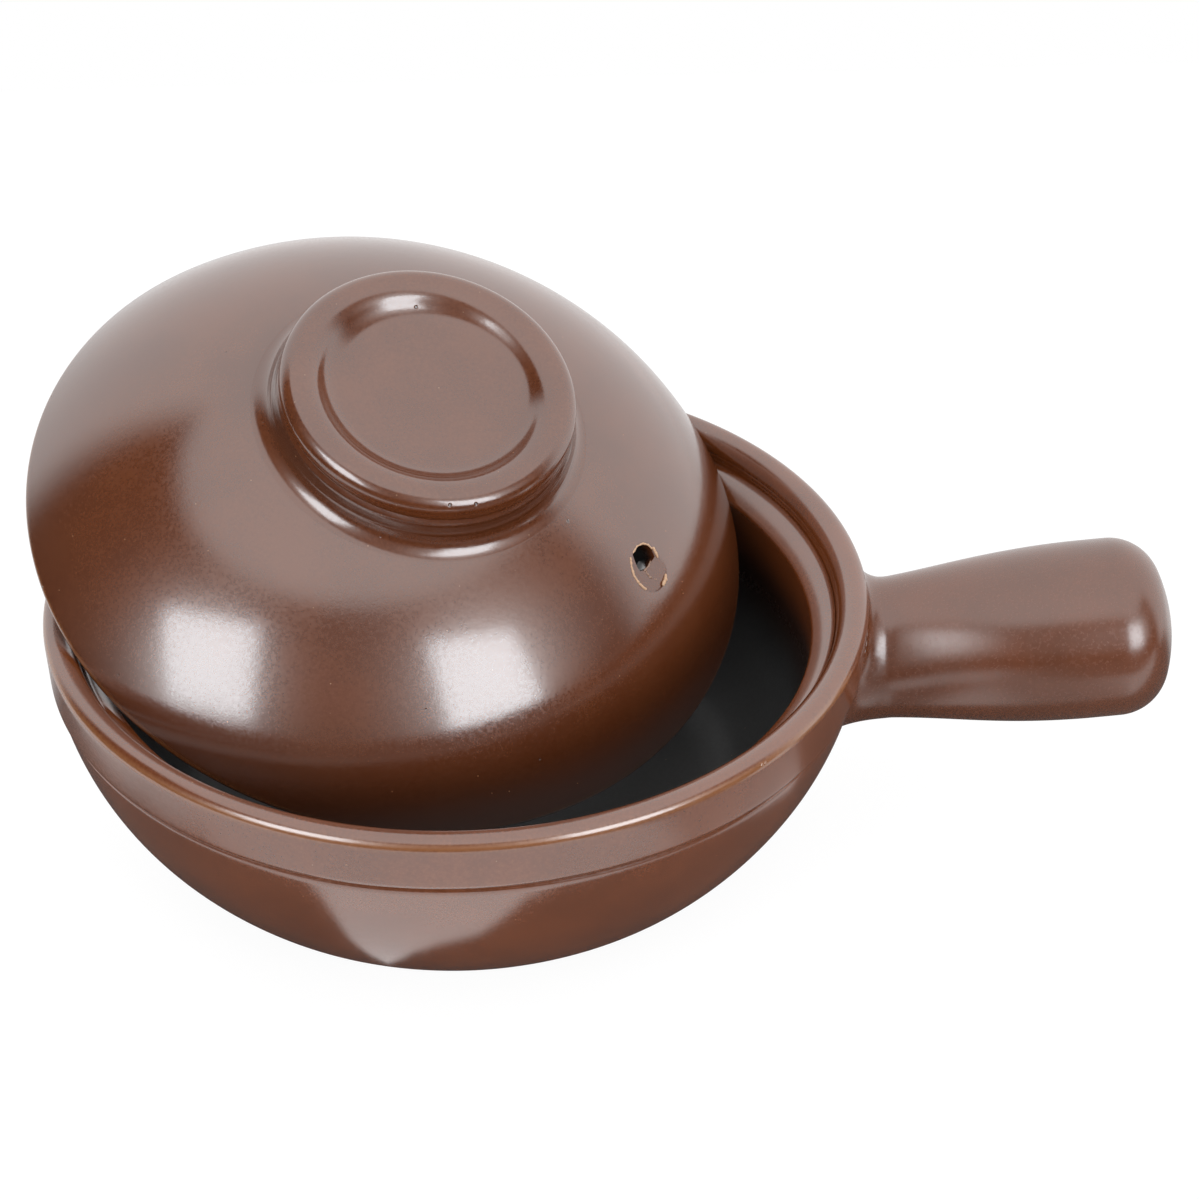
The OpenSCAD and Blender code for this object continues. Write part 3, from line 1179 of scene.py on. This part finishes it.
    def dish(self) -> list[Point]:
        """Lists the outline of the knob's dish, from its middle to the crest.

        Returns:
            Radius and height of each point, in millimetres.
        """
        slope, fall = math.radians(self.dish_slope), math.radians(self.floor_slope)
        roll = Vector((self.crest_x, self.knob_top - self.roll_r))
        side_down = Vector((-math.cos(slope), -math.sin(slope)))
        to_floor = self.dish_corner * Vector((-math.sin(fall), math.cos(fall)))
        corner = roll + (self.roll_r + self.dish_corner) * Vector((-math.sin(slope), math.cos(slope)))
        short = corner - to_floor
        steep = math.tan(fall / 2)
        top = self.dome_h + self.knob_floor
        corner += side_down * (short.y - short.x * steep - top) / (side_down.x * steep - side_down.y)
        curve = (corner - to_floor).x / math.sin(fall)
        return (arc_points((0.0, top + curve), curve, -90, -90 + self.floor_slope, 20)
                + arc_points(corner, self.dish_corner, -90 + self.floor_slope, -90 + self.dish_slope, 12)[1:]
                + arc_points(roll, self.roll_r, 90 + self.dish_slope, 90, 14))

    def knob_outline(self) -> list[Point]:
        """Lists the knob's outline from the middle of the dish, over the bead, into the dome.

        Returns:
            Radius and height of each point, in millimetres.
        """
        bead = arc_points((self.crest_x, self.bead_z), self.bead_r, 90, self.low_a, 20)
        fillet = arc_points(self.fillet_c, self.knob_fillet, 180 + self.neck_lean,
                            180 + self.knob_foot_a, 18)
        step = (bead[-1][0] - self.bead_step[0], bead[-1][1] - self.bead_step[1])
        steps = 20
        neck = []
        for k, (x, z) in enumerate(line_points(step, fillet[0], steps)):
            ridge = sum(hump(k / steps, at, self.ridge_w_share) for at in self.ridge_shares)
            neck.append((x + self.ridge_h * ridge, z))
        return (self.dish() + bead[1:] + [step] + neck + fillet
                + arc_points(self.dome_c, self.dome_r - self.knob_sink, self.knob_foot_a, 90, 20))

    def dome_glazing(self, place: Vector) -> Coat:
        """Gives the glaze on the dome: brown outside, thin on the rim, liner under it, and painted shade on
        the outside near the rim, deeper on the lid's low side.

        Args:
            place: the place, in millimetres.

        Returns:
            How the glaze lies there.
        """
        radius = math.hypot(place.x, place.y)
        rim = math.hypot(radius - self.rim_r + self.rim_thin_in, place.z + self.rim_thin_in)
        from_centre = math.hypot(radius, place.z + self.dome_drop)
        under = from_centre < self.dome_r - self.dome_t / 2 and place.z > -NEAR_MM
        # Painted shade: the outside darkens towards the rim, more on the lid's low side, for the shade of
        # the bowl's mouth; it goes out as a liner share.
        low = self.painted_rim_shade + self.painted_rim_shade * fade(place.x, *self.painted_rim_shade_x)
        dark = low * (1 - fade(place.z, 0.0, self.painted_rim_shade_h))
        return Coat(max(1 - rim / self.rim_thin, 0.0), fade(place.z, *self.liner_z) if under else dark)

    def knob_glazing(self, place: Vector) -> Coat:
        """Gives the glaze on the knob: thin over the bead and on its lower corner, with painted shade on the
        neck under the bead.

        Args:
            place: the place, in millimetres.

        Returns:
            How the glaze lies there.
        """
        radius = math.hypot(place.x, place.y)
        low, high = self.crest_z
        crest = (fade(radius, self.crest_x - self.crest_in[0], self.crest_x - self.crest_in[1])
                 * fade(place.z, self.bead_z + low, self.bead_z + high))
        corner = math.hypot(radius - self.knob_r + self.corner_in, place.z - self.bead_z + self.bead_drop)
        # Painted shade on the neck under the bead, carried as a liner share.
        under = (fade(radius, self.crest_x - self.neck_in, self.crest_x)
                 * (1 - fade(radius, self.knob_r, self.knob_r + self.neck_out)))
        low, high = self.neck_z
        neck = under * (1 - fade(place.z, self.bead_z + low, self.bead_z + high))
        thin = max(self.crest_thin * crest, self.corner_thin[0] - corner / self.corner_thin[1], 0.0)
        return Coat(thin, self.neck_painted_shade * neck)

    def build(self, finish: Material, knob_finish: Material) -> None:
        """Models the dome and the knob and joins them to the frame.

        Args:
            finish: the dome's glaze.
            knob_finish: the knob's glaze.
        """
        pose = self.pose()
        dome = spin_outline(self.dome_outline(), self.turns)
        self.dome_wobble.apply(dome)
        piece = Piece("glazed_dome", dome)
        vent = Vent(self)
        piece.cut(vent.recess())
        piece.cut(vent.tool())
        piece.coat(self.dome_glazing)
        piece.place(pose)
        piece.finish(finish, Body.LID, "brown_glaze_lid", "lid_dome")
        vent.build(finish)
        knob = spin_outline(self.knob_outline(), self.turns)
        self.knob_wobble.apply(knob)
        piece = Piece("glazed_knob", knob)
        piece.coat(self.knob_glazing)
        piece.place(pose)
        piece.finish(knob_finish, Body.LID, "brown_glaze_knob", "lid_knob")


@dataclass(frozen=True)
class Burr:
    """A ridge of torn clay beside the steam hole.

    Attributes:
        path: its corners in the punch's frame, in millimetres.
        size: mean radius of its crumbs, in millimetres.
        lift: how far it lies above the dome, in millimetres.
        bare: share of bare clay.
    """

    path: tuple[Point, ...]
    size: float
    lift: float
    bare: float = 1.0


@dataclass
class Vent:
    """The steam hole, pushed through the wet clay with a round punch.

    Sizes are in millimetres, in the punch's frame on the dome: X down the dome, Z out of it.
    """

    lid: Lid
    punch_r: float = 6.15
    punch_depth: float = 0.6
    punch_tilt: float = 4.5
    hole_out: float = 4.0
    hole: tuple[Point, ...] = ((-4.77, 3.4), (-3.31, 4.45), (-1.78, 4.51), (0.13, 3.73), (0.03, 2.1),
                               (0.03, 0.14), (-0.37, -1.33), (-1.5, -2.64), (-2.66, -2.45), (-4.07, -1.85),
                               (-6.07, -0.84), (-5.9, 1.39))
    # The burrs on the left, on top and on the right, the chip, and the flap that is folded in.
    burrs: tuple[Burr, ...] = (
        Burr(((-6.04, -2.65), (-4.64, -4.33), (-2.79, -5.57), (-1.05, -5.9), (0.91, -5.85), (2.02, -5.5)),
             0.30, -0.05),
        Burr(((-6.07, -0.84), (-5.95, 1.39), (-4.85, 3.4), (-3.31, 4.5), (-1.78, 4.6)), 0.24, -0.08),
        Burr(((-1.44, 5.07), (-0.28, 4.66), (1.07, 4.21)), 0.30, -0.1),
        Burr(((5.45, 2.6), (5.92, 1.4), (6.02, -0.2)), 0.42, -0.1),
        Burr(((0.03, 2.1), (0.03, 0.14), (-0.37, -1.33), (1.83, -1.5), (3.96, -0.3)), 0.28, -0.75, 0.3),
    )
    crumb_spacing: float = 0.16
    seed_step: float = 3.7

    def spot(self) -> Matrix:
        """Gives the frame of the punch on the dome.

        Returns:
            The turn and shift from the punch's frame to the lid's.
        """
        lean = math.asin(self.lid.vent_out / self.lid.dome_r)
        down = turned(self.lid.vent_turn, "Z") @ Matrix.Rotation(lean, 4, "Y")
        drop = Matrix.Translation((0.0, 0.0, -self.lid.dome_drop * MM))
        return drop @ down @ Matrix.Translation((0.0, 0.0, self.lid.dome_r * MM))

    def on_dome(self, points: tuple[Point, ...], lift: float) -> list[Vector]:
        """Puts points of the punch's frame on the dome's surface, raised by a lift."""
        fall = 2 * self.lid.dome_r
        return [Vector((x, y, lift - (x * x + y * y) / fall)) for x, y in points]

    def recess(self) -> Solid:
        """Makes the tool that presses the punch's round recess.

        Returns:
            The tool, in the lid's frame.
        """
        high = 2 * self.lid.dome_t
        seat = (turned(self.punch_tilt, "X")
                @ Matrix.Translation((0.0, 0.0, (high / 2 - self.punch_depth) * MM)))
        tool = rod(self.punch_r, high, seat, sides=64)
        bmesh.ops.transform(tool, matrix=self.spot(), verts=tool.verts)
        return tool

    def tool(self) -> Solid:
        """Makes the tool that cuts the torn hole.

        Returns:
            The tool, in the lid's frame.
        """
        tool = bmesh.new()
        deep = 2 * self.lid.dome_t
        verts = [tool.verts.new((x * MM, y * MM, -deep * MM)) for x, y in self.hole]
        made = bmesh.ops.extrude_face_region(tool, geom=[tool.faces.new(verts)])
        tops = [g for g in made["geom"] if isinstance(g, bmesh.types.BMVert)]
        bmesh.ops.translate(tool, vec=(0.0, 0.0, (deep + self.hole_out) * MM), verts=tops)
        bmesh.ops.recalc_face_normals(tool, faces=tool.faces)
        bmesh.ops.transform(tool, matrix=self.spot(), verts=tool.verts)
        return tool

    def build(self, finish: Material) -> None:
        """Models the torn clay round the hole and joins it to the frame.

        Args:
            finish: the dome's glaze.
        """
        pose = self.lid.pose() @ self.spot()
        for k, burr in enumerate(self.burrs):
            crumbs = Crumbs(burr.size, self.crumb_spacing, self.seed_step * k)
            piece = Piece(f"vent_clay_{k + 1}", crumbs.lay(self.on_dome(burr.path, burr.lift)))
            piece.coat(lambda place, share=burr.bare: Coat(bare=share))
            piece.place(pose)
            piece.finish(finish, Body.LID, "brown_glaze_lid")


@dataclass(frozen=True)
class Softbox:
    """A square lamp with a soft face.

    Attributes:
        name: the lamp's name.
        azimuth: its direction, in degrees to the right of the camera's side.
        elevation: its direction above level, in degrees.
        width: its width, in metres.
        height: its height, in metres.
        tilt: how far its face leans down from facing the pot, in degrees.
        yaw: how far its face is turned aside, in degrees.
        roll: how far it is turned in its own plane, in degrees.
        glow: how bright its face is, where 1 is white paper.
        fade: angle over which its spill fades, in degrees.
        colour: colour of its light.
        distance: how far it stands from the pot, in metres.
        reach: how far its face reaches from its middle, in degrees, before its light starts to spill.
    """

    name: str
    azimuth: float
    elevation: float
    width: float
    height: float
    tilt: float
    yaw: float
    roll: float
    glow: float
    fade: float
    colour: Place = (0.90, 0.95, 1.0)
    distance: float = 1.3
    reach: float = 14.0

    def way(self) -> Vector:
        """Gives the direction from the pot to the lamp."""
        turn, up = math.radians(self.azimuth), math.radians(self.elevation)
        return Vector((math.sin(turn) * math.cos(up), -math.cos(turn) * math.cos(up), math.sin(up)))

    def build(self, aim: Vector) -> None:
        """Makes the lamp and turns it to the pot.

        Args:
            aim: the place that it lights, in metres.
        """
        lamp = bpy.data.lights.new(self.name, "AREA")
        lamp.shape = "RECTANGLE"
        lamp.size = self.width
        lamp.size_y = self.height
        lamp.energy = self.glow * self.width * self.height * math.pi
        lamp.color = self.colour
        put(self.name, lamp).matrix_world = (
            Matrix.Translation(aim + self.way() * self.distance)
            @ turned(self.azimuth, "Z") @ turned(90 - self.elevation, "X")
            @ turned(self.roll, "Z") @ turned(self.yaw, "Y") @ turned(self.tilt, "X"))

    def spill(self, graph: Graph, way: Socket) -> Socket:
        """Adds the glow that the lamp throws on the room round it.

        Args:
            graph: the world's nodes.
            way: the direction that is looked in.

        Returns:
            The glow, 1 within the lamp's reach.
        """
        near = graph.vector("DOT_PRODUCT", {0: way, 1: self.way()})
        away = graph.most(graph.minus(graph.maths("ARCCOSINE", near), math.radians(self.reach)), 0.0)
        return graph.maths("EXPONENT", graph.maths("DIVIDE", away, -math.radians(self.fade)))


@dataclass(frozen=True)
class Camera:
    """The camera that took the photograph.

    Attributes:
        eye: its place, in metres.
        yaw: its turn to the right, in degrees.
        pitch: how far it looks down, in degrees.
        roll: its turn about its own axis, in degrees.
        focal_px: its focal length, in pixels of the photograph.
        frame_px: width of the photograph, in pixels.
        sensor: width of its sensor, in millimetres.
        clip_start: distance from which it sees things, in metres.
    """

    eye: Place = (0.0, -0.7602, 0.5892)
    yaw: float = 2.612
    pitch: float = 34.716
    roll: float = 0.173
    focal_px: float = 3800.0
    frame_px: float = 1199.0
    sensor: float = 36.0
    clip_start: float = 0.05

    def build(self) -> None:
        """Places the camera and makes it the scene's."""
        data = bpy.data.cameras.new("camera")
        data.sensor_width = self.sensor
        data.sensor_fit = "HORIZONTAL"
        data.lens = self.focal_px / self.frame_px * self.sensor
        data.clip_start = self.clip_start
        item = put("camera", data)
        item.matrix_world = (Matrix.Translation(self.eye) @ turned(-self.yaw, "Z")
                             @ turned(90 - self.pitch, "X") @ turned(-self.roll, "Z"))
        bpy.context.scene.camera = item


@dataclass(frozen=True)
class Floor:
    """The pale floor, white to the camera, with the pot's faint shadow.

    Attributes:
        size: its width and depth, in metres.
        paper: its grey for the soft light that it throws on the pot.
        dim: its grey in the glaze's reflections, in front of the pot.
        faint: the part of its white that the pot's shadow darkens.
        glow: the part of its white that stays.
        behind: range of Y behind the pot over which reflections of it turn white, in metres.
    """

    size: float = 0.8
    paper: float = 0.8
    dim: float = 0.14
    faint: float = 0.11
    glow: float = 0.93
    behind: Point = (0.03, 0.08)

    def material(self) -> Material:
        """Builds the floor's finish.

        Returns:
            The finished material.
        """
        made = bpy.data.materials.new("pale_floor")
        graph = Graph(made)
        path = graph.node("LightPath")
        glossy = path.outputs["Is Glossy Ray"]
        matt = graph.shader("BsdfDiffuse", Color=grey(self.paper))
        lit = graph.mix(glossy, matt, graph.shader("BsdfDiffuse", Color=grey(self.dim)))
        seen = graph.sum(graph.shader("BsdfDiffuse", Color=grey(self.faint)),
                         graph.shader("Emission", Color=WHITE, Strength=self.glow))
        depth = graph.node("SeparateXYZ", {0: graph.node("TexCoord").outputs["Object"]}).outputs["Y"]
        behind = graph.times(graph.ramp(depth, *self.behind), glossy)
        white = graph.most(path.outputs["Is Camera Ray"], behind)
        graph.node("OutputMaterial", {"Surface": graph.mix(white, lit, seen)})
        return made

    def build(self) -> None:
        """Lays the floor."""
        sheet = bmesh.new()
        bmesh.ops.create_grid(sheet, x_segments=1, y_segments=1, size=self.size / 2)
        item = put("floor", as_mesh("floor", sheet))
        item.data.materials.append(self.material())


@dataclass(frozen=True)
class Card:
    """White card round the pot's front, which shows as pale patches in the glaze of its wall.

    Attributes:
        inner: corners of the edge that the pot's wall reflects, in millimetres.
        outer: corners of the rest of its outline, in millimetres.
        edge: how far out its soft edge is full, as a share of the inner edge's distance.
        lift: its height over the floor, in millimetres.
        shade: its grey in the strip that the handle's end reflects, darker there as painted shadow of the
            handle, and elsewhere.
        strip_x: X of that strip's middle, in metres.
        strip: distances from there over which the grey changes, in metres.
        glow: how bright it shines close to the pot.
        glow_to: distances from the pot's middle over which that glow fades, in metres.
    """

    inner: tuple[Point, ...] = ((-146, 70), (-138, -10), (-130, -50), (-114, -83), (-90, -100), (-62, -106),
                                (-50, -98), (-40, -88), (-32, -78), (-24, -70), (-19, -66), (-14, -78),
                                (-8, -85), (4, -92), (13, -102), (22, -112), (40, -119), (75, -114),
                                (98, -94), (103, -60), (107, -30), (148, -34), (200, -44), (390, -56))
    outer: tuple[Point, ...] = ((390, -100), (176, -104), (145, -110), (128, -150), (120, -245),
                                (-250, -245), (-390, -100), (-390, 70))
    edge: float = 1.09
    lift: float = 0.3
    shade: Point = (0.4, 0.85)
    strip_x: float = 0.138
    strip: Point = (0.028, 0.045)
    glow: float = 0.5
    glow_to: Point = (0.125, 0.155)

    def mesh(self) -> bpy.types.Mesh:
        """Cuts the card, with a soft edge that the attribute full rises across.

        Returns:
            The card's mesh.
        """
        sheet = bmesh.new()

        def corners(points: tuple[Point, ...], across: float, along: float) -> list[bmesh.types.BMVert]:
            """Adds corners, moved out from the pot by two shares."""
            return [sheet.verts.new((x * MM * across, y * MM * along, self.lift * MM)) for x, y in points]

        soft = corners(self.inner, 1.0, 1.0)
        full = corners(self.inner, self.edge, self.edge)
        for k in range(len(soft) - 1):
            sheet.faces.new((soft[k], soft[k + 1], full[k + 1], full[k]))
        sheet.faces.new(full + corners(self.outer, self.edge, 1.0))
        shares = [0.0] * len(soft) + [1.0] * (len(sheet.verts) - len(soft))
        made = as_mesh("card", sheet)
        made.attributes.new("full", "FLOAT", "POINT").data.foreach_set("value", shares)
        return made

    def material(self) -> Material:
        """Builds the card's finish.

        Returns:
            The finished material.
        """
        made = bpy.data.materials.new("card_paper")
        graph = Graph(made)
        where = graph.node("TexCoord").outputs["Object"]
        aside = graph.node("SeparateXYZ", {0: where}).outputs["X"]
        beside = graph.maths("ABSOLUTE", graph.minus(aside, self.strip_x))
        shade = graph.blend(graph.ramp(beside, *self.strip), grey(self.shade[0]), grey(self.shade[1]))
        away = graph.vector("LENGTH", {0: where})
        glow = graph.ramp(away, self.glow_to[1], self.glow_to[0], 0.0, self.glow)
        bright = graph.sum(graph.shader("BsdfDiffuse", Color=shade),
                           graph.shader("Emission", Color=WHITE, Strength=glow))
        full = graph.ramp(graph.layer("full"), 0.0, 1.0)
        graph.node("OutputMaterial", {"Surface": graph.mix(full, graph.shader("BsdfTransparent"), bright)})
        return made

    def build(self) -> None:
        """Lays the card, which only the glaze's reflections show."""
        item = put("card", self.mesh())
        item.data.materials.append(self.material())
        item.visible_camera = False
        item.visible_diffuse = False
        item.visible_shadow = False


@dataclass(frozen=True)
class Studio:
    """The white room: pale floor, two softboxes beside the camera, a white tent, and the camera.

    Attributes:
        aim: the place that the lamps are turned to, in metres.
        spill: how bright the room is beside a lamp.
        spill_z: range of the direction's rise over which the spill starts.
        tent: how bright the tent's cloth is.
        tent_fall: how much brighter the tent is in front than straight aside, as a share.
        dark: how bright the tent's opening is.
        opening_from: left end of the opening, in degrees of azimuth.
        opening_to: its right end.
        opening_side: how far its side's soft edge reaches in and out, in degrees.
        opening_top: height of its top above level, in degrees.
        opening_soft: half the width of its top's soft edge, in degrees.
        opening_slope: how its top falls with azimuth.
        lamps: the softboxes.
    """

    aim: Place = (0.0, 0.0, 0.06)
    spill: float = 1.8
    spill_z: Point = (0.02, 0.16)
    tent: float = 1.3
    tent_fall: float = 0.1
    dark: float = 0.05
    opening_from: float = -123.0
    opening_to: float = 91.0
    opening_side: Point = (10.0, 8.0)
    opening_top: float = 45.0
    opening_soft: float = 3.0
    opening_slope: float = 0.05
    lamps: tuple[Softbox, ...] = (
        Softbox("softbox_left", -43.5, 21.5, 0.636, 0.605, -28.4, 20.9, 7.9, 3.95, 7.5),
        Softbox("softbox_right", 40.6, 17.7, 0.714, 0.628, 21.5, -32.3, -9.4, 4.1, 10.5),
    )

    def cloth(self, graph: Graph, way: bpy.types.Node) -> Socket:
        """Adds the tent's cloth, with its opening towards the camera's side.

        Args:
            graph: the world's nodes.
            way: the parts of the direction that is looked in.

        Returns:
            A value of 1 on the cloth and 0 in the opening.
        """
        azimuth = graph.maths("ARCTAN2", way.outputs["X"], graph.times(way.outputs["Y"], -1.0))
        middle = math.radians(self.opening_from + self.opening_to) / 2
        half = math.radians(self.opening_to - self.opening_from) / 2
        inward, outward = (math.radians(angle) for angle in self.opening_side)
        aside = graph.maths("ABSOLUTE", graph.minus(azimuth, middle))
        beside = graph.ramp(aside, half - inward, half + outward)
        slope = graph.times(azimuth, self.opening_slope)
        height = graph.plus(graph.maths("ARCSINE", way.outputs["Z"]), slope)
        top, soft = math.radians(self.opening_top), math.radians(self.opening_soft)
        return graph.most(beside, graph.ramp(height, top - soft, top + soft))

    def world(self) -> None:
        """Lights the room with a white tent, open and dark towards the camera's side."""
        made = bpy.data.worlds.new("white_tent")
        graph = Graph(made)
        coordinates = graph.node("TexCoord").outputs["Generated"]
        way = graph.node("SeparateXYZ", {0: coordinates})
        glow = 0.0
        for lamp in self.lamps:
            glow = graph.plus(lamp.spill(graph, coordinates), glow)
        raised = graph.times(glow, graph.ramp(way.outputs["Z"], *self.spill_z))
        level = graph.plus(graph.times(raised, self.spill), self.dark)
        sheen = graph.times(graph.minus(1.0, graph.times(way.outputs["Y"], self.tent_fall)), self.tent)
        room = graph.shader("Background", Color=graph.blend(self.cloth(graph, way), level, sheen))
        seen = graph.node("LightPath").outputs["Is Camera Ray"]
        white = graph.shader("Background", Color=WHITE)
        graph.node("OutputWorld", {"Surface": graph.mix(seen, room, white)})
        bpy.context.scene.world = made

    def build(self) -> None:
        """Makes the camera, the floor, the card, the world and the lamps."""
        Camera().build()
        Floor().build()
        Card().build()
        self.world()
        for lamp in self.lamps:
            lamp.build(Vector(self.aim))
        bpy.context.scene.view_settings.view_transform = "Standard"


def main() -> None:
    """Builds the studio and every piece of the pot."""
    logging.basicConfig(level=logging.INFO)
    noise.seed_set(NOISE_SEED)
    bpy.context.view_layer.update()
    Studio().build()
    # The bowl's glaze is a lighter copy of the lid's: painted light, for the stronger light on the bowl's
    # wall.
    bowl_glaze = Glaze("bowl_glaze", body=(0.162, 0.041, 0.010, 1.0), deep=(0.126, 0.031, 0.007, 1.0),
                       gloss=0.18)
    handle_glaze = Glaze("handle_glaze", body=(0.134, 0.035, 0.010, 1.0), deep=(0.104, 0.027, 0.007, 1.0),
                         gloss=0.24, index=1.95)
    dome_glaze = Glaze("dome_glaze", pits=((26.86, -8.72, 90.93),))
    knob_glaze = Glaze("knob_glaze", index=2.05,
                       pits=((-0.98, -25.53, 107.42), (5.04, -23.97, 106.48), (-7.79, 29.96, 128.04)))
    bowl = Bowl()
    bowl.build(bowl_glaze.material())
    Handle(bowl).build(handle_glaze.material())
    Lid(bowl).build(dome_glaze.material(), knob_glaze.material())


if __name__ == "__main__":
    main()
